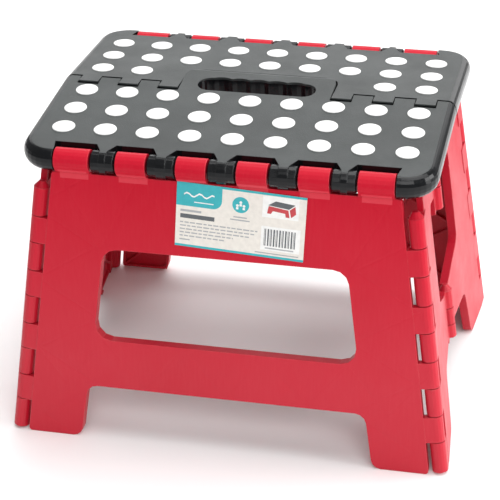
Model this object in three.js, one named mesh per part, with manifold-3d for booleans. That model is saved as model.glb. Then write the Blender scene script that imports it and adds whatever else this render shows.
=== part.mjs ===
// Folding step stool: two deck halves, two leg panels and four side panels joined by moulded hinges.
// Millimetres, +Z up, +X to the stool's right, -Y to its front; the origin is on the floor under the middle
// It is drawn standing open, with the deck left a few degrees short of flat.
import * as THREE from 'three';
import { mergeVertices } from 'three/addons/utils/BufferGeometryUtils.js';
import Module from 'manifold-3d';

const wasm = await Module();
wasm.setup();

// ---- driving dimensions ----
const DECK_HEIGHT = 220;        // floor to the ridge of the deck
const DECK_SLOPE = 3.4;         // degrees, each half down from the ridge
const DECK_HALF_LENGTH = 138.5;
const DECK_HALF_DEPTH = 109;    // ridge to the front of the hinge lugs
const DECK_THICKNESS = 16;
const DECK_CORNER_RADIUS = 22;
const DECK_EDGE_ROUND = 6;      // how far the rounded rim comes in from the edge

const APEX_HEIGHT = 1150;       // all corner and side hinge lines aim at this point above the middle
const CORNER_X = 149;           // corner hinge lines, where they meet the floor
const CORNER_Y = 116.2;
const SIDE_FOLD_X = 144.9;      // side centre hinge lines, where they meet the floor
const AXIS_DEPTH = 5.6;         // corner hinge line behind the outer faces
const BARREL_RADIUS = 5.4;      // corner hinge barrels
const FOLD_BARREL_RADIUS = 4.8; // side centre hinge barrels

const SKIN = 2.4;               // moulded wall
const LEG_DEPTH = 7.4;          // rim of a leg panel
const EDGE_DEPTH = 5;           // rims beside the corner hinges, where the folded panels nest
const SIDE_DEPTH = 6.2;         // rim of a side panel beside its centre hinge
const RIB_WIDTH = 1.6;
const FAR = 200;                // outside everything, for cuts that run right through

const LEG_TOP = 197.6;          // along the slope of the leg
const LEG_HALF_FOOT = 141.8;    // half the width of the leg plate on the floor
const LEG_AXIS_HEIGHT = 206;    // leg to deck hinge line
const LUG_RADIUS = 7.6;         // leg knuckles on the deck hinge
const DOT_RADIUS = 7.7;
const DOT_PITCH_X = 28.9;
const DOT_ROWS = [19.4, 46.3, 73.2];  // from the ridge

const RED = 0xc4283a;
const BLACK = 0x4a5252;
const WHITE = 0xf4f4f2;
const CREAM = 0xece8e0;

// ---- solids ----
function material(color, roughness) {
  return new THREE.MeshStandardMaterial({ color, roughness, metalness: 0 });
}

function toSolid(geometry) {
  const bare = geometry.index ? geometry.toNonIndexed() : geometry.clone();
  bare.deleteAttribute('normal');
  bare.deleteAttribute('uv');
  const merged = mergeVertices(bare, 1e-4);
  return new wasm.Manifold(new wasm.Mesh({
    numProp: 3,
    vertProperties: new Float32Array(merged.attributes.position.array),
    triVerts: new Uint32Array(merged.index.array),
  }));
}

function toGeometry(solid) {
  const mesh = solid.getMesh();
  const geometry = new THREE.BufferGeometry();
  geometry.setAttribute('position', new THREE.BufferAttribute(new Float32Array(mesh.vertProperties), 3));
  geometry.setIndex(new THREE.BufferAttribute(new Uint32Array(mesh.triVerts), 1));
  geometry.computeVertexNormals();
  return geometry;
}

function join(solids) {
  return solids.reduce((whole, piece) => whole.add(piece));
}

function cut(solid, tools) {
  return tools.reduce((left, tool) => left.subtract(tool), solid);
}

function block(x0, x1, y0, y1, z0, z1) {
  const geometry = new THREE.BoxGeometry(x1 - x0, y1 - y0, z1 - z0);
  geometry.translate((x0 + x1) / 2, (y0 + y1) / 2, (z0 + z1) / 2);
  return toSolid(geometry);
}

// a round bar, or a cone, from one point to another
function rod(from, to, radius, sides = 12, endRadius = radius) {
  const along = new THREE.Vector3().subVectors(to, from);
  const geometry = new THREE.CylinderGeometry(endRadius, radius, along.length(), sides);
  geometry.translate(0, along.length() / 2, 0);
  const turn = new THREE.Quaternion().setFromUnitVectors(new THREE.Vector3(0, 1, 0), along.normalize());
  geometry.applyQuaternion(turn);
  geometry.translate(from.x, from.y, from.z);
  return toSolid(geometry);
}

// ---- flat outlines: a list of [x, y, corner radius], anticlockwise ----
function filletPoints(corners, steps = 3) {
  const points = [];
  corners.forEach(([x, y, radius], i) => {
    const here = new THREE.Vector2(x, y);
    if (!radius) {
      points.push(here);
      return;
    }
    const before = new THREE.Vector2(...corners.at(i - 1)).sub(here).normalize();
    const after = new THREE.Vector2(...corners[(i + 1) % corners.length]).sub(here).normalize();
    const half = Math.acos(THREE.MathUtils.clamp(before.dot(after), -1, 1)) / 2;
    const reach = radius / Math.tan(half);
    const start = here.clone().addScaledVector(before, reach);
    const end = here.clone().addScaledVector(after, reach);
    const middle = before.clone().add(after).normalize();
    const centre = here.clone().addScaledVector(middle, radius / Math.sin(half));
    const from = Math.atan2(start.y - centre.y, start.x - centre.x);
    let sweep = Math.atan2(end.y - centre.y, end.x - centre.x) - from;
    sweep = Math.atan2(Math.sin(sweep), Math.cos(sweep));
    for (let k = 0; k <= steps; k += 1) {
      const angle = from + sweep * k / steps;
      const arm = new THREE.Vector2(Math.cos(angle), Math.sin(angle));
      points.push(arm.multiplyScalar(radius).add(centre));
    }
  });
  return points;
}

// moves every edge of an anticlockwise outline inwards
function inset(corners, distance) {
  return corners.map(([x, y, radius], i) => {
    const [px, py] = corners.at(i - 1);
    const [nx, ny] = corners[(i + 1) % corners.length];
    const first = new THREE.Vector2(x - px, y - py).normalize();
    const second = new THREE.Vector2(nx - x, ny - y).normalize();
    const turn = first.x * second.y - first.y * second.x;
    const slide = (1 - first.dot(second)) / turn;
    const shift = Math.abs(turn) < 1e-9 ? 0 : slide * distance;
    const grown = radius ? Math.max(0.5, radius - Math.sign(turn) * distance) : 0;
    return [x - first.y * distance - first.x * shift, y + first.x * distance - first.y * shift, grown];
  });
}

function slab(corners, z0, z1, holes = []) {
  const shape = new THREE.Shape(filletPoints(corners));
  shape.holes = holes.map((hole) => new THREE.Path(filletPoints(hole)));
  const geometry = new THREE.ExtrudeGeometry(shape, { depth: z1 - z0, bevelEnabled: false });
  geometry.translate(0, 0, z0);
  return toSolid(geometry);
}

// a straight rib standing on the inner face, as deep as the rim
function rib(x0, y0, x1, y1) {
  const along = new THREE.Vector2(x1 - x0, y1 - y0);
  const geometry = new THREE.BoxGeometry(along.length(), RIB_WIDTH, 2 * FAR);
  geometry.rotateZ(Math.atan2(along.y, along.x));
  geometry.translate((x0 + x1) / 2, (y0 + y1) / 2, 0);
  return toSolid(geometry);
}

function mirrored(geometry) {
  const flipped = geometry.clone().scale(-1, 1, 1);
  const index = flipped.index.array;
  for (let i = 0; i < index.length; i += 3) {
    [index[i], index[i + 1]] = [index[i + 1], index[i]];
  }
  flipped.computeVertexNormals();
  return flipped;
}

// ---- hinge pieces ----
const PIN_RADIUS = 2.1;
const SOCKET_RADIUS = 2.8;
const KNUCKLE_GAP = 0.7;        // between neighbouring knuckles, along the hinge line
const PIN_REACH = 2.8;          // out of a knuckle's end
const SOCKET_DEPTH = 3;
const ROOT = 0.5;               // overlap of a pin with its knuckle
const PIN_SIDES = 6;
const SOCKET_SIDES = 8;
const BARREL_SIDES = 12;
const KNUCKLE_SEGMENTS = 6;     // half the facets round a knuckle

// a hinge line: line(d) is the point d millimetres up it from the floor
function hingeLine(foot, top) {
  const direction = new THREE.Vector3().subVectors(top, foot).normalize();
  return (distance) => foot.clone().addScaledVector(direction, distance);
}

function pinsAtEnds(line, low, high, radius = PIN_RADIUS, reach = PIN_REACH) {
  return [
    rod(line(low + ROOT), line(low - reach), radius, PIN_SIDES),
    rod(line(high - ROOT), line(high + reach), radius, PIN_SIDES),
  ];
}

function socketsAtEnds(line, low, high, radius = SOCKET_RADIUS, depth = SOCKET_DEPTH) {
  return [
    rod(line(low - ROOT), line(low + depth), radius, SOCKET_SIDES),
    rod(line(high + ROOT), line(high - depth), radius, SOCKET_SIDES),
  ];
}

// a bar lying along a hinge line, from z0 to z1 about it and reaching sideways from x0 to x1
function webAlong(line, low, high, x0, x1, z0, z1) {
  const start = line(low);
  const end = line(high);
  const length = start.distanceTo(end);
  const geometry = new THREE.BoxGeometry(x1 - x0, length, z1 - z0);
  geometry.translate((x0 + x1) / 2, length / 2, (z0 + z1) / 2);
  geometry.rotateZ(Math.atan2(start.x - end.x, end.y - start.y));
  geometry.translate(start.x, start.y, (start.z + end.z) / 2);
  return toSolid(geometry);
}

// a knuckle: a barrel round the hinge line whose web reaches sideways to the panel, flush with its face
function knuckleAlong(line, low, high, radius, webReach, side = 1) {
  const section = new THREE.Shape();
  section.moveTo(-webReach, radius);
  section.lineTo(-webReach, 0);
  section.lineTo(-radius, 0);
  section.absarc(0, 0, radius, Math.PI, Math.PI * 2.5, false);
  const [start, end] = [line(low), line(high)];
  const length = start.distanceTo(end);
  const settings = { depth: length, curveSegments: KNUCKLE_SEGMENTS, bevelEnabled: false };
  let geometry = new THREE.ExtrudeGeometry(section, settings);
  geometry.rotateX(Math.PI / 2);
  geometry.translate(0, length, 0);
  geometry = side > 0 ? geometry : mirrored(mergeVertices(geometry));
  geometry.rotateZ(Math.atan2(start.x - end.x, end.y - start.y));
  geometry.translate(start.x, start.y, (start.z + end.z) / 2);
  return toSolid(geometry);
}

// the space under the floor, for a panel whose own frame has the floor's normal along up
function underFloor(up) {
  const geometry = new THREE.BoxGeometry(2 * FAR, 20, FAR);
  geometry.translate(0, -10, 0);
  geometry.applyQuaternion(new THREE.Quaternion().setFromUnitVectors(new THREE.Vector3(0, 1, 0), up));
  return toSolid(geometry);
}

// the corner hinge: five side knuckles and between them four leg knuckles, each pinned into the next one up
const KNUCKLE_PITCH = 40.4;
const SIDE_KNUCKLE_LENGTH = 20.2;
const LOWEST_KNUCKLE = 3.4;
const FLOOR_CLEARANCE = 1.2;
const CORNER_GAP = 8.4;         // hinge line to the edge of either plate
const WEB_REACH = CORNER_GAP + 5;

const sideKnuckles = [0, 1, 2, 3, 4].map((i) => {
  const low = LOWEST_KNUCKLE + KNUCKLE_PITCH * i;
  return [i ? low : FLOOR_CLEARANCE, low + SIDE_KNUCKLE_LENGTH];
});
const legKnuckles = [0, 1, 2, 3].map((i) => {
  const [below, above] = [sideKnuckles[i][1], sideKnuckles[i + 1][0]];
  return [below + KNUCKLE_GAP, above - KNUCKLE_GAP];
});

// ---- leg panel, drawn flat: x across, y up the slope, z out of the outer face ----
const LEG_LEAN = Math.atan(CORNER_Y / APEX_HEIGHT);
const LEG_FOOT_Y = CORNER_Y + AXIS_DEPTH / Math.cos(LEG_LEAN);
const LEG_AXIS = LEG_AXIS_HEIGHT / Math.cos(LEG_LEAN);      // leg to deck hinge line, up the slope
const LEG_AXIS_Y = LEG_FOOT_Y - LEG_AXIS_HEIGHT * Math.tan(LEG_LEAN);
const LEG_APEX = LEG_FOOT_Y * Math.sin(LEG_LEAN) + APEX_HEIGHT * Math.cos(LEG_LEAN);
const LEG_TAPER = CORNER_X / LEG_APEX;
const NEST_WIDTH = 44;          // the strip beside a corner hinge that a folded side panel lies against
const KNUCKLE_CENTRES = [-100.8, -60.6, -20.1, 20.1, 60.6, 100.8];
const OUTER_KNUCKLE = 11.8;     // half the width of the two end knuckles
const INNER_KNUCKLE = 10;
const FOOT_INNER = 103;         // inner corner of a leg's foot
const ARCH_HALF = 97;           // the arch between the feet
const ARCH_TOP = 40.6;
const LEG_WINDOW = [[-91.5, 76.6, 11], [91.5, 76.6, 11], [82.8, 144.6, 11], [-82.8, 144.6, 11]];

function legCornerLine(side) {
  const foot = new THREE.Vector3(side * CORNER_X, AXIS_DEPTH * Math.tan(LEG_LEAN), -AXIS_DEPTH);
  return hingeLine(foot, new THREE.Vector3(0, LEG_APEX, -AXIS_DEPTH));
}

function legOutline() {
  const topHalf = LEG_HALF_FOOT - LEG_TOP * LEG_TAPER;
  return [
    [FOOT_INNER, 0, 7], [LEG_HALF_FOOT, 0, 2.5], [topHalf, LEG_TOP, 2], [-topHalf, LEG_TOP, 2],
    [-LEG_HALF_FOOT, 0, 2.5], [-FOOT_INNER, 0, 7], [-ARCH_HALF, ARCH_TOP, 8], [ARCH_HALF, ARCH_TOP, 8],
  ];
}

function knuckleHalfWidth(centre) {
  return Math.abs(centre) > 100 ? OUTER_KNUCKLE : INNER_KNUCKLE;
}

// the knuckle's section: a round top that hooks forward, and a root inside the leg's rim
function deckKnuckle(centre) {
  const half = knuckleHalfWidth(centre);
  const root = LEG_TOP - 12;
  const section = new THREE.Shape();
  section.moveTo(-EDGE_DEPTH, root);
  section.lineTo(-0.2, root);
  section.lineTo(0, LEG_TOP + 0.8);
  section.lineTo(3.2, LEG_TOP + 1.4);
  section.absarc(0, LEG_AXIS, LUG_RADIUS, -0.75, Math.PI + 0.35, false);
  section.lineTo(-EDGE_DEPTH, LEG_TOP + 1);
  const settings = { depth: 2 * half, curveSegments: KNUCKLE_SEGMENTS, bevelEnabled: false };
  const geometry = new THREE.ExtrudeGeometry(section, settings);
  geometry.rotateY(-Math.PI / 2);
  geometry.translate(centre + half, 0, 0);
  return toSolid(geometry);
}

// zigzags up both posts and along the bars above and below the window
function legRibs() {
  const [innerX, outerX, rise] = [88, 130, 26];
  const bay = 28;
  const ribs = [];
  for (let side = -1; side <= 1; side += 2) {
    for (let i = 0; i < 3; i += 1) {
      const low = ARCH_TOP + 2 * i * rise;
      ribs.push(rib(side * innerX, low, side * outerX, low + rise));
      ribs.push(rib(side * outerX, low + rise, side * innerX, low + 2 * rise));
    }
    ribs.push(rib(side * LEG_HALF_FOOT, 0, side * ARCH_HALF, ARCH_TOP));
  }
  for (let i = -3; i < 3; i += 1) {
    const [low, high] = i % 2 ? [i, i + 1] : [i + 1, i];
    ribs.push(rib(low * bay, ARCH_TOP, high * bay, LEG_WINDOW[0][1]));
    ribs.push(rib(high * bay, LEG_WINDOW[2][1], low * bay, LEG_TOP));
  }
  return join(ribs);
}

// the band beside a corner hinge that is planed back to the thinner rim
function nestCut(line, side) {
  const [x0, x1] = side > 0 ? [-NEST_WIDTH, 2] : [-2, NEST_WIDTH];
  return webAlong(line, -5, 215, x0, x1, -20, AXIS_DEPTH - EDGE_DEPTH);
}

function legPanel() {
  const outline = legOutline();
  const window = LEG_WINDOW;
  const hollow = slab(inset(outline, SKIN), -FAR, -SKIN, [inset(window, -SKIN)]).subtract(legRibs());
  let leg = slab(outline, -LEG_DEPTH, 0, [window]).subtract(hollow);
  for (let side = -1; side <= 1; side += 2) {
    const line = legCornerLine(side);
    leg = leg.subtract(nestCut(line, side));
    for (const [low, high] of legKnuckles) {
      const knuckle = knuckleAlong(line, low, high, BARREL_RADIUS, WEB_REACH, side);
      leg = join([leg, knuckle, pinsAtEnds(line, low, high)[1]]);
    }
  }
  const deckHinge = hingeLine(new THREE.Vector3(0, LEG_AXIS, 0), new THREE.Vector3(1, LEG_AXIS, 0));
  for (const centre of KNUCKLE_CENTRES) {
    const half = knuckleHalfWidth(centre);
    leg = join([leg, deckKnuckle(centre), ...pinsAtEnds(deckHinge, centre - half, centre + half)]);
  }
  return toGeometry(leg.subtract(underFloor(new THREE.Vector3(0, Math.cos(LEG_LEAN), Math.sin(LEG_LEAN)))));
}

// ---- deck half, drawn flat: the ridge on y = 0, its body towards -y, its top on z = 0 ----
const SLOPE = THREE.MathUtils.degToRad(DECK_SLOPE);
const RIDGE_AXIS_DROP = 16;     // the ridge hinge line is this far below the ridge
const RIDGE_BARREL_RADIUS = 3.6;
const BARREL_CLEARANCE = 0.8;
const TAB_EDGES = [53.6, 67.9, 82.2, 96.5, 111, 125.4];
const TAB_GAP = 0.3;
const FRONT_TAB_REACH = 0.6;    // how far each half's tabs cross the ridge
const REAR_TAB_REACH = 7.4;
const FRONT_RECESS = 9.8;       // and how far back the other half makes room
const REAR_RECESS = 3.1;
const NOTCH_DEPTH = 93;         // ridge to the back of a leg knuckle's notch
const NOTCH_GAP = 0.8;          // between a knuckle and the lugs beside it
const NOTCH_FLARE = 2.6;        // how much wider than its knuckle a notch is, on each side of its back
const NECK_TAPER = 7;           // and where the necks meet the lugs
const NECK_END = 101.5;
const LUG_BARREL_RADIUS = 7.4;
const LUG_CHAMFER = 1.1;
const LUG_SIDES = 16;
const TONGUE_HALF = 53.3;
const TONGUE_REACH = 25.6;
const TONGUE_ROUND = 4;         // radius along its far edge
const TONGUE_THICKNESS = 14;
const TONGUE_GAP = 0.7;         // beside the tongue
const TONGUE_END_GAP = 4.4;     // beyond its end
const DECK_SKIN = 2.6;
const PIVOT_PIN = 1.3;          // ridge hinge pins and sockets
const PIVOT_SOCKET = 1.9;

function deckBlank() {
  const corners = [
    [-DECK_HALF_LENGTH, -DECK_HALF_DEPTH, DECK_CORNER_RADIUS],
    [DECK_HALF_LENGTH, -DECK_HALF_DEPTH, DECK_CORNER_RADIUS],
    [DECK_HALF_LENGTH, 30, 0], [-DECK_HALF_LENGTH, 30, 0],
  ];
  const geometry = new THREE.ExtrudeGeometry(new THREE.Shape(filletPoints(corners, 8)), {
    depth: 0.4,
    bevelSize: DECK_EDGE_ROUND,
    bevelOffset: -DECK_EDGE_ROUND,
    bevelThickness: DECK_THICKNESS / 2 - 0.2,
    bevelSegments: 5,
  });
  geometry.translate(0, 0, -DECK_THICKNESS / 2 - 0.2);
  return toSolid(geometry);
}

// triangular pockets in the underside that leave a lattice of ribs
function pockets(x0, x1, y0, y1, columns, rows) {
  const width = (x1 - x0) / columns;
  const depth = (y1 - y0) / rows;
  const cells = [];
  for (let i = 0; i < columns; i += 1) {
    for (let j = 0; j < rows; j += 1) {
      const centre = [x0 + (i + 0.5) * width, y0 + (j + 0.5) * depth];
      const [a, b] = [width / 2 - RIB_WIDTH / 2, depth / 2 - RIB_WIDTH / 2];
      const lean = (i + j) % 2 ? -1 : 1;
      for (let turn = -1; turn <= 1; turn += 2) {
        const corners = [[a, -b], [a, b - RIB_WIDTH], [RIB_WIDTH - a, -b]].map(([x, y]) => {
          return [centre[0] + x * lean * turn, centre[1] + y * turn, 0];
        });
        const outline = lean > 0 ? corners : corners.reverse();
        cells.push(slab(outline, -DECK_THICKNESS - 1, -DECK_SKIN));
      }
    }
  }
  return cells;
}

// the lattice under a deck half, except where the tongue or its bed is
function lattice(nearRidge, besideRidge) {
  return [
    ...pockets(-130, 130, -90.5, nearRidge, 8, 2),
    ...pockets(58, 130, nearRidge, besideRidge, 2, 1),
    ...pockets(-130, -58, nearRidge, besideRidge, 2, 1),
  ];
}

// which half owns the tab between two edges: the one beside the tongue belongs to the rear half
function tabSpans(owner) {
  const spans = [];
  for (let i = 0; i < TAB_EDGES.length; i += 1) {
    const isRear = i % 2 === 0;
    if (isRear === (owner === 'rear')) {
      spans.push([TAB_EDGES[i], TAB_EDGES[i + 1] ?? DECK_HALF_LENGTH]);
    }
  }
  return spans.flatMap(([low, high]) => [[low, high], [-high, -low]]);
}

function ridgeLine() {
  const y = -RIDGE_AXIS_DROP * Math.sin(SLOPE);
  const z = -RIDGE_AXIS_DROP * Math.cos(SLOPE);
  return hingeLine(new THREE.Vector3(0, y, z), new THREE.Vector3(1, y, z));
}

// a notch flares beyond its knuckle and leaves tapered necks; at the deck's corners it closes up again
function deckNotches() {
  return KNUCKLE_CENTRES.map((centre) => {
    const half = knuckleHalfWidth(centre);
    const [left, right] = [-1, 1].map((side) => {
      const besideCorner = Math.abs(centre) > 100 && Math.sign(centre) === side;
      return centre + side * (half + (besideCorner ? NOTCH_GAP : NECK_TAPER));
    });
    return slab([
      [centre - half - NOTCH_FLARE, -NOTCH_DEPTH, 0], [left, -NECK_END, 0], [left, -FAR, 0],
      [right, -FAR, 0], [right, -NECK_END, 0], [centre + half + NOTCH_FLARE, -NOTCH_DEPTH, 0],
    ], -DECK_THICKNESS - 1, 1);
  });
}

// the leg to deck hinge line, in the deck half's own frame
function lugLine(x) {
  const drop = DECK_HEIGHT - LEG_AXIS_HEIGHT;
  const y = -(LEG_AXIS_Y * Math.cos(SLOPE) + drop * Math.sin(SLOPE));
  const z = LEG_AXIS_Y * Math.sin(SLOPE) - drop * Math.cos(SLOPE);
  return new THREE.Vector3(x, y, z);
}

// the round lugs between the leg's knuckles
function deckLugs() {
  const [radius, blunt] = [LUG_BARREL_RADIUS, LUG_BARREL_RADIUS - LUG_CHAMFER];
  return KNUCKLE_CENTRES.slice(1).map((right, i) => {
    const left = KNUCKLE_CENTRES[i];
    const start = left + knuckleHalfWidth(left) + NOTCH_GAP;
    const length = right - knuckleHalfWidth(right) - NOTCH_GAP - start;
    const profile = [
      [0, 0], [blunt, 0], [radius, LUG_CHAMFER],
      [radius, length - LUG_CHAMFER], [blunt, length], [0, length],
    ].map(([distance, height]) => new THREE.Vector2(distance, height));
    const geometry = new THREE.LatheGeometry(profile, LUG_SIDES);
    geometry.rotateZ(-Math.PI / 2);
    geometry.translate(...lugLine(start).toArray());
    return toSolid(geometry);
  });
}

function lugSockets() {
  return KNUCKLE_CENTRES.map((centre) => {
    const half = knuckleHalfWidth(centre) + PIN_REACH + 0.4;
    return rod(lugLine(centre - half), lugLine(centre + half), SOCKET_RADIUS, SOCKET_SIDES);
  });
}

// from the body of its half across the ridge; the gap makes it the bed that it lies in
function tongueOutline(root, gap, reach) {
  const half = TONGUE_HALF + gap;
  return [[-half, root, 0], [half, root, 0], [half, reach, 10 + gap], [-half, reach, 10 + gap]];
}

function tongue() {
  const root = -30;
  const side = [
    [root, -TONGUE_THICKNESS, 0], [TONGUE_REACH, -TONGUE_THICKNESS, 1.5],
    [TONGUE_REACH, 0, TONGUE_ROUND], [root, 0, 0],
  ];
  const rounded = slab(side, -TONGUE_HALF, TONGUE_HALF).rotate([90, 0, 90]);
  return rounded.intersect(slab(tongueOutline(root, 0, TONGUE_REACH), -TONGUE_THICKNESS - 1, 1));
}

// the finger slot; five shallow scallops along its far side take the fingers
function slotShape() {
  const half = 41.5;
  const [front, back] = [-7.3, 11.6];
  const end = 9;
  const shape = new THREE.Shape();
  shape.moveTo(-half + end, front);
  shape.lineTo(half - end, front);
  shape.absarc(half - end, front + end, end, -Math.PI / 2, 0, false);
  shape.absarc(half - end, back - end, end, 0, Math.PI / 2, false);
  const scallops = 5;
  const pitch = 2 * (half - end) / scallops;
  for (let i = 0; i < scallops; i += 1) {
    const right = half - end - i * pitch;
    shape.quadraticCurveTo(right - pitch / 2, back + 3.4, right - pitch, back);
  }
  shape.absarc(-half + end, back - end, end, Math.PI / 2, Math.PI, false);
  shape.absarc(-half + end, front + end, end, Math.PI, Math.PI * 1.5, false);
  return shape;
}

function fingerSlot() {
  const settings = { depth: 30, curveSegments: 4, bevelEnabled: false };
  const geometry = new THREE.ExtrudeGeometry(slotShape(), settings);
  geometry.translate(0, 0, -25);
  return toSolid(geometry);
}

// trims a blank to one half's castellated edge and adds its ridge barrels; the front half's carry the pins
function castellate(blank, owner) {
  const isFront = owner === 'front';
  const line = ridgeLine();
  const outerLimit = DECK_HALF_LENGTH - DECK_EDGE_ROUND;
  let half = blank.subtract(block(-FAR, FAR, isFront ? FRONT_TAB_REACH : REAR_TAB_REACH, FAR, -30, 5));
  for (const [low, high] of tabSpans(isFront ? 'rear' : 'front')) {
    const [from, to] = [low - TAB_GAP, high + TAB_GAP];
    const room = rod(line(from), line(to), RIDGE_BARREL_RADIUS + BARREL_CLEARANCE, BARREL_SIDES);
    half = cut(half, [block(from, to, isFront ? -FRONT_RECESS : -REAR_RECESS, FAR, -30, 5), room]);
  }
  for (const [low, high] of tabSpans(owner)) {
    const start = Math.max(low + TAB_GAP, -outerLimit);
    const end = Math.min(high - TAB_GAP, outerLimit);
    half = half.add(rod(line(start), line(end), RIDGE_BARREL_RADIUS, SOCKET_SIDES));
    if (isFront) {
      const pins = pinsAtEnds(line, start, end, PIVOT_PIN, 2.4);
      half = join([half, ...pins.filter((pin, i) => Math.abs([start, end][i]) < outerLimit)]);
    } else {
      half = cut(half, socketsAtEnds(line, start, end, PIVOT_SOCKET, 2.6));
    }
  }
  return half;
}

function frontTop() {
  let half = castellate(deckBlank(), 'front');
  half = half.subtract(block(-TONGUE_HALF, TONGUE_HALF, -1, FAR, -30, 5));
  half = cut(half.add(tongue()), [fingerSlot(), ...deckNotches(), ...lattice(-32, -13)]);
  return toGeometry(cut(join([half, ...deckLugs()]), lugSockets()));
}

// drawn like the front half and then turned round, so the tongue's bed reaches towards -y here
function rearTop() {
  const outline = tongueOutline(-FAR, TONGUE_GAP, TONGUE_REACH + TONGUE_END_GAP);
  const bed = slab(outline, -30, 5).rotate([0, 0, 180]);
  const half = cut(castellate(deckBlank(), 'rear'), [bed, ...deckNotches(), ...lattice(-37.5, -7)]);
  return toGeometry(cut(join([half, ...deckLugs()]), lugSockets()));
}

function gripDot() {
  const geometry = new THREE.CylinderGeometry(DOT_RADIUS - 0.2, DOT_RADIUS, 0.6, BARREL_SIDES);
  geometry.rotateX(Math.PI / 2);
  return geometry;
}

// ---- side panel half, drawn flat: its centre hinge on x = 0, its corner hinge towards +x ----
const SIDE_FOOT = new THREE.Vector3(-SIDE_FOLD_X, 0, 0);
const CORNER_FOOT = new THREE.Vector3(-CORNER_X, -CORNER_Y, 0);
const APEX = new THREE.Vector3(0, 0, APEX_HEIGHT);
const FOLD_GAP = 8.2;           // centre hinge line to the plate beside the other half's knuckle
const PLATE_GAP = 2.5;          // centre hinge line to the plate elsewhere
const SIDE_TOP = 198.4;
const SIDE_ARCH_HALF = 64;      // the arch under the side, at the floor and at its top
const SIDE_ARCH_SHOULDER = 56;
const SIDE_ARCH_TOP = 41;
const SIDE_WINDOW = 48;         // from the centre hinge to the window's far edge
const CONED_KNUCKLE = 61;       // the one that ends in a cone
const FRONT_FOLD_KNUCKLES = [[36.8, 46.9], [CONED_KNUCKLE, 75], [140.6, 157.4]];
const REAR_FOLD_KNUCKLES = [[47.6, 60.3], [158.1, 171.4]];
const CONE_LENGTH = 4.5;
const CONE_TIP = 0.4;           // tip radius as a share of the knuckle's

// the frame of the left front half: x towards the corner, y up the fold line, z outwards
function sideFrame() {
  const up = new THREE.Vector3().subVectors(APEX, SIDE_FOOT).normalize();
  const toCorner = new THREE.Vector3().subVectors(CORNER_FOOT, SIDE_FOOT);
  const across = toCorner.clone().addScaledVector(up, -toCorner.dot(up));
  const tilt = Math.asin(AXIS_DEPTH / across.length());
  across.normalize();
  const outward = new THREE.Vector3().crossVectors(across, up);
  const x = across.clone().multiplyScalar(Math.cos(tilt)).addScaledVector(outward, Math.sin(tilt));
  const z = new THREE.Vector3().crossVectors(x, up);
  const foot = new THREE.Vector3(toCorner.dot(x), toCorner.dot(up), toCorner.dot(z));
  const reach = APEX.distanceTo(SIDE_FOOT);
  return { x, y: up, z, cornerFoot: foot, apex: new THREE.Vector3(0, reach, 0) };
}

const SIDE = sideFrame();
const sideCornerLine = hingeLine(SIDE.cornerFoot, SIDE.apex);
const foldLine = hingeLine(new THREE.Vector3(0, 0, 0), new THREE.Vector3(0, 1, 0));

function plateEdge(height) {
  const share = (SIDE.apex.y - height) / (SIDE.apex.y - SIDE.cornerFoot.y);
  return SIDE.cornerFoot.x * share - CORNER_GAP;
}

function floorAt(x) {
  return SIDE.cornerFoot.y * x / SIDE.cornerFoot.x + 0.05;
}

function sideOutline() {
  return [
    [SIDE_ARCH_HALF, floorAt(SIDE_ARCH_HALF), 7],
    [plateEdge(0), floorAt(plateEdge(0)), 2],
    [plateEdge(SIDE_TOP), SIDE_TOP, 3],
    [15, SIDE_TOP, 0],
    [PLATE_GAP, SIDE_TOP - 5, 0],
    [PLATE_GAP, 151, 0],
    [SIDE_WINDOW - 1, 166, 6],
    [SIDE_WINDOW, 91, 8],
    [PLATE_GAP, 72, 0],
    [PLATE_GAP, SIDE_ARCH_TOP, 0],
    [SIDE_ARCH_SHOULDER, SIDE_ARCH_TOP, 8],
  ];
}

function sideRibs() {
  const [postEdge, rise] = [108, 26];
  const ribs = [
    rib(postEdge + 4, 3, SIDE_ARCH_SHOULDER, SIDE_ARCH_TOP),
    rib(10, SIDE_ARCH_TOP, SIDE_WINDOW, 74),
    rib(10, 172, SIDE_WINDOW, 194),
  ];
  for (let i = 0; i < 3; i += 1) {
    const low = SIDE_ARCH_TOP + 2 * i * rise;
    ribs.push(rib(SIDE_WINDOW, low, postEdge, low + rise));
    ribs.push(rib(postEdge, low + rise, SIDE_WINDOW, low + 2 * rise));
  }
  return join(ribs);
}

// a blunt cone on the upper end of a knuckle
function cone(line, from, radius) {
  return rod(line(from - ROOT), line(from + CONE_LENGTH - ROOT), radius, BARREL_SIDES, radius * CONE_TIP);
}

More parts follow.
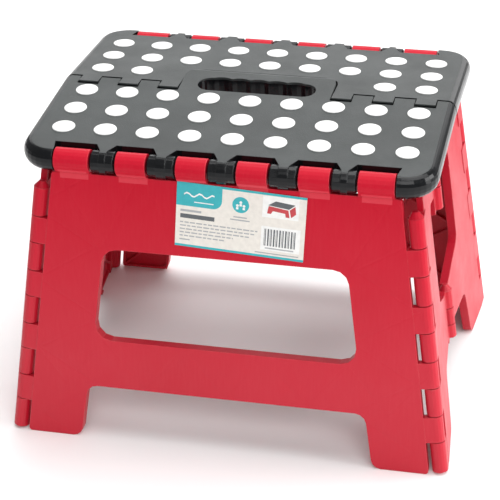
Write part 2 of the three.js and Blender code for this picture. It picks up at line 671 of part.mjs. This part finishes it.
function sidePanel(owner) {
  const outline = sideOutline();
  const hollow = slab(inset(outline, SKIN), -FAR, -SKIN).subtract(sideRibs());
  let side = slab(outline, -SIDE_DEPTH, 0).subtract(hollow);
  side = side.subtract(nestCut(sideCornerLine, 1));
  const own = owner === 'front' ? FRONT_FOLD_KNUCKLES : REAR_FOLD_KNUCKLES;
  const others = owner === 'front' ? REAR_FOLD_KNUCKLES : FRONT_FOLD_KNUCKLES;
  for (const [low, high] of others) {
    const room = owner === 'front' ? KNUCKLE_GAP : CONE_LENGTH;
    side = side.subtract(block(-20, FOLD_GAP, low - KNUCKLE_GAP, high + room, -20, 5));
  }
  for (const [low, high] of own) {
    side = side.add(rod(foldLine(low), foldLine(high), FOLD_BARREL_RADIUS, BARREL_SIDES));
    side = side.add(block(0, FOLD_GAP + 4, low, high, -FOLD_BARREL_RADIUS, 0));
    if (owner === 'front' && low === CONED_KNUCKLE) {
      side = side.add(cone(foldLine, high, FOLD_BARREL_RADIUS));
    }
  }
  for (const [low, high] of sideKnuckles) {
    side = side.add(knuckleAlong(sideCornerLine, low, high, BARREL_RADIUS, WEB_REACH));
  }
  side = side.add(cone(sideCornerLine, sideKnuckles.at(-1)[1], BARREL_RADIUS));
  for (const [low, high] of sideKnuckles.slice(1)) {
    side = side.subtract(socketsAtEnds(sideCornerLine, low, high)[0]);
  }
  return toGeometry(side.subtract(underFloor(new THREE.Vector3(SIDE.x.z, SIDE.y.z, SIDE.z.z))));
}

// ---- the stool ----
function panel(name, geometry, color, roughness = 0.45) {
  const mesh = new THREE.Mesh(geometry, material(color, roughness));
  mesh.name = name;
  return mesh;
}

function place(mesh, origin, x, y, z) {
  mesh.quaternion.setFromRotationMatrix(new THREE.Matrix4().makeBasis(x, y, z));
  mesh.position.copy(origin);
  return mesh;
}

function standLeg(mesh) {
  mesh.rotation.x = Math.PI / 2 - LEG_LEAN;
  mesh.position.set(0, -LEG_FOOT_Y, 0);
  return mesh;
}

function standSide(mesh, side) {
  const flip = new THREE.Vector3(-side, 1, 1);
  const x = SIDE.x.clone().multiply(flip).multiplyScalar(-side);
  const y = SIDE.y.clone().multiply(flip);
  const z = SIDE.z.clone().multiply(flip);
  return place(mesh, SIDE_FOOT.clone().multiply(flip), x, y, z);
}

function dotPlaces(owner) {
  const places = [];
  DOT_ROWS.forEach((row, j) => {
    for (let i = -4; i <= 4; i += 1) {
      const underTongue = owner === 'rear' && j === 0 && Math.abs(i) < 3;
      if (!underTongue) {
        places.push([i * DOT_PITCH_X, -row]);
      }
    }
  });
  return places;
}

function deckGroup(owner, geometry) {
  const group = new THREE.Group();
  group.add(panel(`${owner}_top`, geometry, BLACK));
  dotPlaces(owner).forEach(([x, y], i) => {
    const dot = panel(`${owner}_grip_dot_${String(i + 1).padStart(2, '0')}`, gripDot(), WHITE, 0.6);
    dot.position.set(x, y, 0.4);
    group.add(dot);
  });
  group.rotation.x = SLOPE;
  group.position.z = DECK_HEIGHT;
  return group;
}

const LABEL_WIDTH = 86.4;
const LABEL_HEIGHT = 45.5;
const LABEL_THICKNESS = 0.25;
const LABEL_CENTRE = [11.5, 173.2, 0.45];   // on the outer face of the front leg
const LABEL_TILT = -3;                      // stuck on a little crooked

function labelOnLeg() {
  const paper = new THREE.BoxGeometry(LABEL_WIDTH, LABEL_HEIGHT, LABEL_THICKNESS);
  const label = panel('label', paper, CREAM, 0.35);
  const holder = new THREE.Group();
  label.position.set(...LABEL_CENTRE);
  label.rotation.z = THREE.MathUtils.degToRad(LABEL_TILT);
  holder.add(label);
  return standLeg(holder);
}

function half(owner) {
  const group = new THREE.Group();
  const sideGeometry = sidePanel(owner);
  // seen from its own end, the half's left side is the stool's right one at the rear
  const names = owner === 'front' ? ['left', 'right'] : ['right', 'left'];
  group.add(standLeg(panel(`${owner}_leg`, legPanel(), RED)));
  group.add(deckGroup(owner, owner === 'front' ? frontTop() : rearTop()));
  group.add(standSide(panel(`${names[0]}_${owner}_side`, sideGeometry, RED), -1));
  group.add(standSide(panel(`${names[1]}_${owner}_side`, mirrored(sideGeometry), RED), 1));
  return group;
}

const stool = new THREE.Group();
const rearHalf = half('rear');
rearHalf.rotation.z = Math.PI;
stool.add(half('front'), rearHalf, labelOnLeg());

export default stool;
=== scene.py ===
import bpy
import bmesh
import math
from mathutils import Matrix, Quaternion, Vector


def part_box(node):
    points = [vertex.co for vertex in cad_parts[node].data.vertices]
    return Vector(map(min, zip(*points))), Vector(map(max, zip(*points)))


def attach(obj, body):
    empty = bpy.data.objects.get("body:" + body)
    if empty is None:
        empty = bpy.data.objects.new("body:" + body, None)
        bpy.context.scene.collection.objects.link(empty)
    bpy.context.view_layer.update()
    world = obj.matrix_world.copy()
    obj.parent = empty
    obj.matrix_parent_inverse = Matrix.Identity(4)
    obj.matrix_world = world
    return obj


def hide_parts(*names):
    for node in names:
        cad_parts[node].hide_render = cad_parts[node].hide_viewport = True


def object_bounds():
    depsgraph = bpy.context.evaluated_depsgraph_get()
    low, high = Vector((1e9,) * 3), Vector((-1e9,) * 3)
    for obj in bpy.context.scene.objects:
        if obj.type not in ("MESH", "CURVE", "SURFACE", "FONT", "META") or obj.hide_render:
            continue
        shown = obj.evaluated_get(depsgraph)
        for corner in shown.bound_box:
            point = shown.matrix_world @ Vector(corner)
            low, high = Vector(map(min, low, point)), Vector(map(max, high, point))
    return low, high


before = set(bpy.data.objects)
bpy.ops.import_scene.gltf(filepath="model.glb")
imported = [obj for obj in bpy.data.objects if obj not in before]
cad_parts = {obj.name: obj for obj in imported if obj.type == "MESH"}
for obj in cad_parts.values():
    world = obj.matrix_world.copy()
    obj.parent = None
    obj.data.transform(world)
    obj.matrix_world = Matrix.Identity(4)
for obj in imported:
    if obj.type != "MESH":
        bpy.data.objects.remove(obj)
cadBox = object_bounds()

mm = 0.001


# ---------- small helpers for materials ----------
def startMaterial(name):
    material = bpy.data.materials.new(name)
    material.use_nodes = True
    tree = material.node_tree
    return material, tree, tree.nodes["Principled BSDF"]


def addNode(tree, kind, inputs=None, **settings):
    node = tree.nodes.new(kind)
    for key, value in settings.items():
        setattr(node, key, value)
    for key, value in (inputs or {}).items():
        if isinstance(value, bpy.types.NodeSocket):
            tree.links.new(value, node.inputs[key])
        else:
            node.inputs[key].default_value = value
    return node


def noise(tree, where, scale, detail=3.0, roughness=0.5):
    node = addNode(tree, "ShaderNodeTexNoise", {"Vector": where, "Scale": scale, "Detail": detail,
                                                "Roughness": roughness})
    return node.outputs["Fac"]


def ramp(tree, value, stops):
    node = addNode(tree, "ShaderNodeValToRGB", {"Fac": value})
    elements = node.color_ramp.elements
    while len(elements) < len(stops):
        elements.new(0.5)
    for element, (place, shade) in zip(elements, stops):
        element.position = place
        element.color = shade if len(shade) == 4 else (*shade, 1)
    return node.outputs["Color"]


def grey(level):
    return (level, level, level)


def blendColours(tree, factor, first, second, mode="MIX"):
    node = addNode(tree, "ShaderNodeMix", data_type="RGBA", blend_type=mode)
    for socket, value in ((node.inputs[0], factor), (node.inputs[6], first), (node.inputs[7], second)):
        if isinstance(value, bpy.types.NodeSocket):
            tree.links.new(value, socket)
        elif isinstance(value, float):
            socket.default_value = value
        else:
            socket.default_value = (*value, 1)
    return node.outputs[2]


def calc(tree, operation, first, second=0.0, third=0.0):
    node = addNode(tree, "ShaderNodeMath", {0: first, 1: second, 2: third}, operation=operation)
    return node.outputs[0]


def bumps(tree, shader, layers, edgeRadius=0.0):
    # layers of (height, strength, distance), coarse first, over edges rounded to edgeRadius
    normal = None
    if edgeRadius:
        normal = addNode(tree, "ShaderNodeBevel", {"Radius": edgeRadius}, samples=6).outputs["Normal"]
    for height, strength, distance in layers:
        node = addNode(tree, "ShaderNodeBump", {"Height": height, "Strength": strength, "Distance": distance})
        if normal:
            tree.links.new(normal, node.inputs["Normal"])
        normal = node.outputs["Normal"]
    tree.links.new(normal, shader.inputs["Normal"])


def localPlace(tree):
    return addNode(tree, "ShaderNodeTexCoord").outputs["Object"]


edgeWear = {
    "radius": 1.2 * mm,
    "sharp": 0.80,            # cosine between the rounded and the true normal on a sharp edge
    "flat": 0.985,            # and where the wear starts
    "patchScale": 60.0,
    "patchBand": (0.42, 0.62),
}


def wornEdges(tree, where, least, most):
    # 0 on flats; on sharp edges it wanders between least and most, in patches
    rounded = addNode(tree, "ShaderNodeBevel", {"Radius": edgeWear["radius"]}, samples=4).outputs["Normal"]
    true = addNode(tree, "ShaderNodeNewGeometry").outputs["Normal"]
    facing = addNode(tree, "ShaderNodeVectorMath", {0: rounded, 1: true}, operation="DOT_PRODUCT")
    sharpness = addNode(tree, "ShaderNodeMapRange", {"Value": facing.outputs["Value"],
                                                     "From Min": edgeWear["flat"],
                                                     "From Max": edgeWear["sharp"],
                                                     "To Min": 0.0, "To Max": 1.0}).outputs["Result"]
    start, end = edgeWear["patchBand"]
    patches = ramp(tree, noise(tree, where, edgeWear["patchScale"], 4.0, 0.7),
                   [(start, grey(least)), (end, grey(most))])
    return calc(tree, "MULTIPLY", sharpness, patches)


# ---------- red legs and sides ----------
redPlastic = {
    "deep": (0.50, 0.006, 0.022),
    "light": (0.55, 0.010, 0.030),
    "scuff": (0.82, 0.20, 0.21),
    "frost": (0.78, 0.10, 0.13),
    "roughness": (0.34, 0.46),
    "grain": 2600.0,
    "edge": 0.9 * mm,
    "dullHeight": (0.060, 0.190),  # the sheen fades between these heights, metres
    "sheen": (0.42, 0.12),
    "wear": (0.10, 0.38),
    "streaked": 0.03,         # how far the streaks show
    "frosted": 0.40,          # how pale the knuckles' feet are
}

# the zigzag ribs behind the leg's flat face, in metres
legRibs = {
    "inner": 0.088,
    "outer": 0.130,
    "rise": 0.026,
    "bay": 0.028,
    "archTop": 0.0406,
    "windowLow": 0.0766,
    "windowHigh": 0.1446,
    "top": 0.1976,
    "width": 0.0016,
}

legKnuckles = {
    "pitch": 0.0403,
    "half": 0.0098,
    "outermost": 0.114,
    "low": 0.1925,
    "high": 0.2005,
}


def sinkMarks(tree, where):
    # faint dips in the flat face, opposite the ribs behind it
    split = addNode(tree, "ShaderNodeSeparateXYZ", {"Vector": where})
    x, z = split.outputs["X"], split.outputs["Z"]
    ribs = legRibs

    def zigzag(along, half):
        return calc(tree, "PINGPONG", along, half)

    def awayFrom(value, start, steepness, wave):
        gap = calc(tree, "SUBTRACT", value, calc(tree, "MULTIPLY_ADD", wave, steepness, start))
        return calc(tree, "MULTIPLY", calc(tree, "ABSOLUTE", gap), 1 / math.hypot(1, steepness))

    lean = (ribs["outer"] - ribs["inner"]) / ribs["rise"]
    post = awayFrom(calc(tree, "ABSOLUTE", x), ribs["inner"], lean,
                    zigzag(calc(tree, "SUBTRACT", z, ribs["archTop"]), ribs["rise"]))
    wave = zigzag(x, ribs["bay"])
    below = awayFrom(z, ribs["archTop"], (ribs["windowLow"] - ribs["archTop"]) / ribs["bay"], wave)
    above = awayFrom(z, ribs["top"], (ribs["windowHigh"] - ribs["top"]) / ribs["bay"], wave)
    nearest = calc(tree, "MINIMUM", post, calc(tree, "MINIMUM", below, above))
    return ramp(tree, calc(tree, "DIVIDE", nearest, ribs["width"]), [(0.0, grey(0)), (0.9, grey(1))])


def frostedFoot(tree, where):
    # 1 on the paler foot of each deck knuckle, where it runs down over the leg's face
    split = addNode(tree, "ShaderNodeSeparateXYZ", {"Vector": where})
    x, z = split.outputs["X"], split.outputs["Z"]
    knuckle = legKnuckles
    phase = calc(tree, "FRACT", calc(tree, "DIVIDE", x, knuckle["pitch"]))
    aside = calc(tree, "ABSOLUTE", calc(tree, "SUBTRACT", phase, 0.5))
    aside = calc(tree, "MULTIPLY", aside, knuckle["pitch"])
    inside = calc(tree, "LESS_THAN", aside, knuckle["half"])
    within = calc(tree, "LESS_THAN", calc(tree, "ABSOLUTE", x), knuckle["outermost"])
    inside = calc(tree, "MULTIPLY", inside, within)
    inside = calc(tree, "MULTIPLY", inside, calc(tree, "GREATER_THAN", z, knuckle["low"]))
    return calc(tree, "MULTIPLY", inside, calc(tree, "LESS_THAN", z, knuckle["high"]))


def makeRedPlastic(name, isLeg=False):
    material, tree, shader = startMaterial(name)
    where = localPlace(tree)
    stretched = addNode(tree, "ShaderNodeMapping", {"Vector": where, "Scale": (1.0, 1.0, 0.06)}).outputs[0]
    flow = noise(tree, where, 7.0, 3.0, 0.55)
    streaks = noise(tree, stretched, 620.0, 3.0, 0.6)
    grain = noise(tree, where, redPlastic["grain"], 2.0)
    base = blendColours(tree, ramp(tree, flow, [(0.3, grey(0)), (0.75, grey(1))]),
                        redPlastic["deep"], redPlastic["light"])
    shown = ramp(tree, streaks, [(0.40, grey(0)), (0.80, grey(1))])
    shown = calc(tree, "MULTIPLY", shown, redPlastic["streaked"])
    base = blendColours(tree, shown, base, redPlastic["scuff"])
    if isLeg:
        pale = calc(tree, "MULTIPLY", frostedFoot(tree, where), redPlastic["frosted"])
        base = blendColours(tree, pale, base, redPlastic["frost"])
    base = blendColours(tree, wornEdges(tree, where, *redPlastic["wear"]), base, redPlastic["scuff"])
    tree.links.new(base, shader.inputs["Base Color"])
    low, high = redPlastic["roughness"]
    rough = addNode(tree, "ShaderNodeMapRange", {"Value": noise(tree, where, 32.0, 4.0, 0.65),
                                                 "From Min": 0.3, "From Max": 0.7,
                                                 "To Min": low, "To Max": high})
    tree.links.new(rough.outputs["Result"], shader.inputs["Roughness"])
    layers = [(flow, 0.20, 0.0008)]
    if isLeg:
        layers.append((sinkMarks(tree, where), 0.22, 0.0004))
    layers.append((streaks, 0.10, 0.00005))
    layers.append((grain, 0.22, 0.00005))
    bumps(tree, shader, layers, redPlastic["edge"])
    height = addNode(tree, "ShaderNodeSeparateXYZ", {"Vector": where}).outputs["Z"]
    sheen = addNode(tree, "ShaderNodeMapRange", {"Value": height, "From Min": redPlastic["dullHeight"][0],
                                                 "From Max": redPlastic["dullHeight"][1],
                                                 "To Min": redPlastic["sheen"][0],
                                                 "To Max": redPlastic["sheen"][1]})
    tree.links.new(sheen.outputs["Result"], shader.inputs["Specular IOR Level"])
    shader.inputs["IOR"].default_value = 1.47
    return material


# ---------- black deck ----------
blackPlastic = {
    # the top gets a lighter black than the edges and lugs of the same plastic: partly its stippled matte
    # finish, partly painted light for the bright backdrop the top reflects
    "base": (0.0045, 0.0050, 0.0060),
    "matteAndPaintedLight": (0.018, 0.022, 0.022),
    "dusty": (0.034, 0.041, 0.041),
    "speck": (0.20, 0.22, 0.22),
    "worn": (0.06, 0.066, 0.066),
    "wear": (0.05, 0.40),
    "dusting": 0.30,
    "topDullness": 0.29,      # added roughness on the stippled top
    "topDepth": 0.15 * mm,    # the top's finish stops this far below its surface
    "shiny": (0.14, 0.24),
    "sheen": (0.26, 0.50),    # beside and under the top, and on it
    "stipple": 1500.0,
    "edge": 0.7 * mm,
    "ridge": 0.220,
    "slope": math.tan(math.radians(3.4)),
}


def matteTopWithPaintedLight(tree, where):
    # this mask also carries the top's lighter colour, which is partly painted light
    # 1 on the flat tops of both halves and the tongue, 0 on the edges, lugs and everything under them
    split = addNode(tree, "ShaderNodeSeparateXYZ", {"Vector": where})
    plane = calc(tree, "MULTIPLY_ADD", calc(tree, "ABSOLUTE", split.outputs["Y"]), -blackPlastic["slope"],
                 blackPlastic["ridge"])
    floor = calc(tree, "SUBTRACT", plane, blackPlastic["topDepth"])
    return calc(tree, "GREATER_THAN", split.outputs["Z"], floor)


def makeBlackPlastic():
    material, tree, shader = startMaterial("deckBlack")
    where = localPlace(tree)
    onTop = matteTopWithPaintedLight(tree, where)
    stipple = addNode(tree, "ShaderNodeTexVoronoi", {"Vector": where, "Scale": blackPlastic["stipple"]},
                      feature="F1").outputs["Distance"]
    dust = ramp(tree, noise(tree, where, 900.0, 3.0, 0.7), [(0.62, grey(0)), (0.74, grey(1))])
    cloud = ramp(tree, noise(tree, where, 14.0, 4.0, 0.6), [(0.35, grey(0)), (0.75, grey(0.8))])
    base = blendColours(tree, cloud, blackPlastic["matteAndPaintedLight"], blackPlastic["dusty"])
    dusted = calc(tree, "MULTIPLY", dust, blackPlastic["dusting"])
    base = blendColours(tree, dusted, base, blackPlastic["speck"])
    # painted light: the top is coloured lighter than the edges and lugs, partly for its matte finish and
    # partly for the backdrop it reflects
    base = blendColours(tree, onTop, blackPlastic["base"], base)
    base = blendColours(tree, wornEdges(tree, where, *blackPlastic["wear"]), base, blackPlastic["worn"])
    tree.links.new(base, shader.inputs["Base Color"])
    low, high = blackPlastic["shiny"]
    rough = addNode(tree, "ShaderNodeMapRange", {"Value": noise(tree, where, 38.0, 4.0, 0.65),
                                                 "From Min": 0.3, "From Max": 0.7,
                                                 "To Min": low, "To Max": high})
    duller = calc(tree, "MULTIPLY_ADD", onTop, blackPlastic["topDullness"], rough.outputs["Result"])
    tree.links.new(duller, shader.inputs["Roughness"])
    bumps(tree, shader, [(noise(tree, where, 24.0, 2.0), 0.2, 0.0005),
                         (calc(tree, "MULTIPLY", stipple, onTop), 0.50, 0.00020)], blackPlastic["edge"])
    shader.inputs["IOR"].default_value = 1.50
    below, above = blackPlastic["sheen"]
    sheen = calc(tree, "MULTIPLY_ADD", onTop, above - below, below)
    tree.links.new(sheen, shader.inputs["Specular IOR Level"])
    return material


# ---------- finishes laid on the moulded panels ----------
sharpFrom = math.radians(34)  # edges sharper than this stay crisp


def dressMouldings():
    red = makeRedPlastic("panelRed")
    marked = makeRedPlastic("legRed", isLeg=True)
    black = makeBlackPlastic()
    for name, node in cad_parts.items():
        if name.endswith("_leg"):
            finish = marked
        elif name.endswith("_side"):
            finish = red
        elif name.endswith("_top"):
            finish = black
        else:
            continue
        node.data.materials.clear()
        node.data.materials.append(finish)
        node.data.shade_smooth()
        node.data.set_sharp_from_angle(angle=sharpFrom)
    print("mouldings dressed")


# ---------- white anti-slip dots ----------
gripDot = {
    "radius": 7.7 * mm,
    "height": 0.7 * mm,       # proud of the deck
    "edge": 0.35 * mm,
    "crown": 0.05 * mm,       # how far the top falls from its middle to its edge
    "foot": 0.15 * mm,        # how far it reaches under the deck's skin
    "sink": 0.4 * mm,         # from the solid dot's middle down to the deck
    "sides": 64,
    "slope": math.radians(3.4),
    "white": (0.80, 0.80, 0.79),
    "grubby": (0.62, 0.62, 0.60),
}


def makeDotWhite():
    material, tree, shader = startMaterial("gripWhite")
    where = localPlace(tree)
    spread = addNode(tree, "ShaderNodeObjectInfo").outputs["Random"]
    shift = addNode(tree, "ShaderNodeVectorMath", {0: where, 1: addNode(
        tree, "ShaderNodeCombineXYZ", {"X": spread, "Y": calc(tree, "MULTIPLY", spread, 3.7)}).outputs[0]},
        operation="ADD").outputs[0]
    smudge = ramp(tree, noise(tree, shift, 160.0, 4.0, 0.65), [(0.48, grey(0)), (0.80, grey(0.7))])
    base = blendColours(tree, smudge, gripDot["white"], gripDot["grubby"])
    tree.links.new(base, shader.inputs["Base Color"])
    rough = addNode(tree, "ShaderNodeMapRange", {"Value": noise(tree, shift, 420.0, 3.0),
                                                 "To Min": 0.52, "To Max": 0.78})
    tree.links.new(rough.outputs["Result"], shader.inputs["Roughness"])
    bumps(tree, shader, [(noise(tree, shift, 2400.0, 2.0), 0.35, 0.00008)])
    return material


def makeDotMesh():
    # a flat-topped disc with a rounded edge, spun about z; its foot is a little under the deck's skin
    radius, height, edge = gripDot["radius"], gripDot["height"], gripDot["edge"]
    rim, shoulder = height - gripDot["crown"], radius - edge
    profile = [(0.0, height), (radius * 0.55, height - 0.4 * gripDot["crown"]), (shoulder, rim)]
    for i in range(1, 5):
        turn = math.radians(90 * i / 4)
        profile.append((shoulder + edge * math.sin(turn), rim - edge * (1 - math.cos(turn))))
    profile += [(radius, -gripDot["foot"]), (0.0, -gripDot["foot"])]
    shape = bmesh.new()
    rings = []
    for distance, rise in profile:
        if distance == 0:
            rings.append([shape.verts.new((0, 0, rise))])
            continue
        ring = []
        for k in range(gripDot["sides"]):
            turn = 2 * math.pi * k / gripDot["sides"]
            ring.append(shape.verts.new((distance * math.cos(turn), distance * math.sin(turn), rise)))
        rings.append(ring)
    for upper, lower in zip(rings, rings[1:]):
        for k in range(gripDot["sides"]):
            after = (k + 1) % gripDot["sides"]
            if len(upper) == 1:
                shape.faces.new((upper[0], lower[k], lower[after]))
            elif len(lower) == 1:
                shape.faces.new((upper[after], upper[k], lower[0]))
            else:
                shape.faces.new((upper[k], lower[k], lower[after], upper[after]))
    mesh = bpy.data.meshes.new("gripDot")
    shape.to_mesh(mesh)
    shape.free()
    mesh.shade_smooth()
    mesh.set_sharp_from_angle(angle=math.radians(50))
    return mesh


def centreOf(node):
    low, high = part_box(node)
    return (Vector(low) + Vector(high)) / 2


def layDots():
    mesh = makeDotMesh()
    mesh.materials.append(makeDotWhite())
    names = [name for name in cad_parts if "_grip_dot_" in name]
    for name in names:
        half = name.split("_")[0]
        slope = gripDot["slope"] if half == "front" else -gripDot["slope"]
        turn = Matrix.Rotation(slope, 4, "X")
        dot = bpy.data.objects.new(name.replace("grip_dot", "grip"), mesh)
        bpy.context.collection.objects.link(dot)
        sunk = Matrix.Translation((0, 0, -gripDot["sink"]))
        dot.matrix_world = Matrix.Translation(centreOf(name)) @ turn @ sunk
        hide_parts(name)
        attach(dot, f"{half}_top")
    print("dots laid:", len(names))


# ---------- label ----------
labelPrint = {
    "width": 86.4,
    "height": 45.5,
    "lean": math.radians(5.77),
    "tilt": math.radians(-3.0),
    "film": 0.12,             # thickness, mm
    "ink": 0.03,              # each printed patch stands this far above the film
}


def flatInk(name, colour, roughness=0.38):
    material, tree, shader = startMaterial(name)
    where = localPlace(tree)
    tint = ramp(tree, noise(tree, where, 300.0, 3.0), [(0.3, grey(0.90)), (0.7, grey(1.0))])
    tree.links.new(blendColours(tree, 1.0, colour, tint, "MULTIPLY"), shader.inputs["Base Color"])
    rough = addNode(tree, "ShaderNodeMapRange", {"Value": noise(tree, where, 90.0, 3.0),
                                                 "To Min": roughness - 0.06, "To Max": roughness + 0.08})
    tree.links.new(rough.outputs["Result"], shader.inputs["Roughness"])
    bumps(tree, shader, [(noise(tree, where, 60.0, 3.0), 0.12, 0.0004),
                         (noise(tree, where, 1800.0, 2.0), 0.12, 0.00004)])
    return material


class LabelSheet:
    # collects flat patches, in millimetres from the label's lower left corner
    def __init__(self):
        self.shape = bmesh.new()
        self.inks = []

    def ink(self, material):
        self.inks.append(material)
        return len(self.inks) - 1

    def patch(self, corners, ink, layer=1):
        rise = (labelPrint["film"] + labelPrint["ink"] * layer) * mm
        halfWidth, halfHeight = labelPrint["width"] / 2, labelPrint["height"] / 2
        places = [((x - halfWidth) * mm, (y - halfHeight) * mm, rise) for x, y in corners]
        verts = [self.shape.verts.new(place) for place in places]
        self.shape.faces.new(verts).material_index = ink

    def bar(self, x, y, width, height, ink, layer=1):
        self.patch([(x, y), (x + width, y), (x + width, y + height), (x, y + height)], ink, layer)

    def disc(self, x, y, radius, ink, layer=1, sides=36):
        turns = [2 * math.pi * k / sides for k in range(sides)]
        self.patch([(x + radius * math.cos(t), y + radius * math.sin(t)) for t in turns], ink, layer)


def printLabel(matrix):
    width, height = labelPrint["width"], labelPrint["height"]
    sheet = LabelSheet()
    cream = sheet.ink(flatInk("labelCream", (0.80, 0.76, 0.70)))
    teal = sheet.ink(flatInk("labelTeal", (0.03, 0.42, 0.47)))
    dark = sheet.ink(flatInk("labelDark", (0.10, 0.11, 0.12)))
    greyInk = sheet.ink(flatInk("labelGrey", (0.40, 0.41, 0.42)))
    white = sheet.ink(flatInk("labelWhite", (0.88, 0.88, 0.86)))
    red = sheet.ink(flatInk("labelRed", (0.55, 0.05, 0.06)))
    thickness = labelPrint["film"] * mm
    box = bmesh.ops.create_cube(sheet.shape, size=1.0)["verts"]
    bmesh.ops.scale(sheet.shape, verts=box, vec=(width * mm, height * mm, thickness))
    bmesh.ops.translate(sheet.shape, verts=box, vec=(0, 0, thickness / 2))
    for face in sheet.shape.faces:
        face.material_index = cream
    # strips along the top and bottom
    sheet.bar(0, height - 1.6, width, 1.6, teal)
    sheet.bar(0, 0, width, 1.6, teal)
    # header block with a rounded lower right corner
    blockWidth, blockLow, corner = 30.5, height - 16.5, 6.0
    outline = [(0, height), (0, blockLow), (blockWidth - corner, blockLow)]
    for k in range(1, 9):
        turn = math.radians(-90 + 90 * k / 8)
        outline.append((blockWidth + corner * (math.cos(turn) - 1), blockLow + corner * (math.sin(turn) + 1)))
    outline.append((blockWidth, height))
    sheet.patch(outline, teal, 2)
    wave = []
    for k in range(13):
        wave.append((5 + k * 1.7, height - 8.4 + 1.3 * math.sin(k * 1.25)))
    ribbon = [(x, y - 0.55) for x, y in wave] + [(x, y + 0.55) for x, y in reversed(wave)]
    sheet.patch(ribbon, white, 3)
    sheet.bar(12, height - 13.6, 13, 0.7, white, 3)
    # title bars and lines of small print
    sheet.bar(3, height - 20.6, 14, 1.5, greyInk)
    sheet.bar(3, height - 25.2, 23, 3.0, dark)
    for row, length in enumerate((52, 50, 47, 36, 30)):
        x, y = 3.0, height - 28.6 - row * 2.4
        step = 0
        while x < 3 + length:
            word = 2.2 + 1.9 * ((row * 3 + step * 5) % 4) / 3
            sheet.bar(x, y, min(word, 3 + length - x), 0.9, greyInk)
            x += word + 0.8
            step += 1
    sheet.bar(3, 4.6, 7, 0.9, greyInk)
    # round badge with three small figures
    sheet.disc(43, height - 11.0, 5.6, teal)
    for x, y in ((-2.2, -0.6), (2.2, -0.6), (0.0, 1.8)):
        sheet.disc(43 + x, height - 11.0 + y, 0.95, white, 2, 20)
        sheet.bar(43 + x - 0.8, height - 11.0 + y - 2.7, 1.6, 1.6, white, 2)
    sheet.bar(38.5, height - 20.2, 9, 0.9, greyInk)
    sheet.bar(36.5, height - 22.2, 13, 0.9, greyInk)
    # a small drawing of a stool
    sheet.bar(57.5, height - 17.0, 24, 15.0, white)
    sheet.patch([(61, height - 8.5), (66, height - 5.2), (79, height - 6.3), (75, height - 9.8)], dark, 2)
    sheet.patch([(61.5, height - 9.0), (74.6, height - 10.4), (75.6, height - 15.6),
                 (73.0, height - 15.4), (72.6, height - 13.0), (64.4, height - 12.2),
                 (63.2, height - 14.4), (60.6, height - 14.2)], red, 2)
    sheet.patch([(75.4, height - 10.2), (79.0, height - 7.2), (79.8, height - 12.6),
                 (76.6, height - 15.4)], red, 2)
    # bar code without digits
    sheet.bar(57.5, 5.2, 26, 17.0, white)
    x = 59.5
    step = 0
    while x < 81.2:
        stripe = 0.32 + 0.34 * ((step * 7) % 3)
        sheet.bar(x, 8.4, stripe, 12.0, dark, 2)
        x += stripe + 0.34 + 0.30 * ((step * 5) % 3)
        step += 1
    sheet.bar(60.5, 6.3, 19, 0.9, greyInk, 2)
    sheet.bar(54, 2.7, 29, 0.8, greyInk)
    mesh = bpy.data.meshes.new("label_print")
    sheet.shape.to_mesh(mesh)
    sheet.shape.free()
    for ink in sheet.inks:
        mesh.materials.append(ink)
    label = bpy.data.objects.new("label_print", mesh)
    bpy.context.collection.objects.link(label)
    label.matrix_world = matrix
    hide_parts("label")
    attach(label, "front_leg")
    print("label printed")


# ---------- floor, light and camera ----------
studio = {
    "floor": (0.93, 0.93, 0.93),
    "sky": 0.32,
    "camera": (0.2494, -1.0978, 0.7198),
    "look": (-0.1986, 0.8508, -0.4866),
    "roll": math.radians(-1.36),
    "lens": 128.15,
    "aim": (0, 0, 0.12),
    "lamps": {                # place, size and watts
        "topBank": ((0.2, 0.3, 1.9), (1.8, 1.6), 34),
        "backBank": ((-0.3, 2.2, 1.1), (3.2, 1.6), 26),
        "rightBank": ((1.6, 0.1, 0.7), (1.0, 0.9), 18),
        "frontFill": ((0.6, -1.9, 1.5), (1.8, 1.2), 26),
    },
}


def makeFloor():
    material, tree, shader = startMaterial("paleFloor")
    where = localPlace(tree)
    shade = ramp(tree, noise(tree, where, 3.0, 4.0), [(0.3, (0.91, 0.91, 0.91)), (0.7, studio["floor"])])
    tree.links.new(shade, shader.inputs["Base Color"])
    shader.inputs["Roughness"].default_value = 0.7
    bumps(tree, shader, [(noise(tree, where, 240.0, 3.0), 0.05, 0.0002)])
    bpy.ops.mesh.primitive_plane_add(size=8, location=(0, 0, cadBox[0][2] - 0.0002))
    floor = bpy.context.object
    floor.name = "floor"
    floor.data.materials.append(material)


def softBox(name, place, size, power):
    data = bpy.data.lights.new(name, "AREA")
    data.shape = "RECTANGLE"
    data.size, data.size_y = size
    data.energy = power
    lamp = bpy.data.objects.new(name, data)
    bpy.context.collection.objects.link(lamp)
    lamp.location = place
    lamp.rotation_euler = (Vector(studio["aim"]) - Vector(place)).to_track_quat("-Z", "Y").to_euler()


def lightStudio():
    world = bpy.data.worlds.new("studio")
    bpy.context.scene.world = world
    world.use_nodes = True
    world.node_tree.nodes["Background"].inputs["Color"].default_value = (1, 1, 1, 1)
    world.node_tree.nodes["Background"].inputs["Strength"].default_value = studio["sky"]
    for name, (place, size, power) in studio["lamps"].items():
        softBox(name, place, size, power)
    bpy.context.scene.view_settings.view_transform = "Standard"


def placeCamera():
    data = bpy.data.cameras.new("studioCamera")
    data.lens = studio["lens"]
    camera = bpy.data.objects.new("studioCamera", data)
    bpy.context.collection.objects.link(camera)
    camera.location = studio["camera"]
    level = Vector(studio["look"]).to_track_quat("-Z", "Y")
    camera.rotation_euler = (level @ Quaternion((0, 0, 1), studio["roll"])).to_euler()
    bpy.context.scene.camera = camera


placeCamera()
dressMouldings()
layDots()
leaning = Matrix.Rotation(math.radians(90) - labelPrint["lean"], 4, "X")
crooked = Matrix.Rotation(labelPrint["tilt"], 4, "Z")
printLabel(Matrix.Translation(centreOf("label")) @ leaning @ crooked)
makeFloor()
lightStudio()
print("stool done")
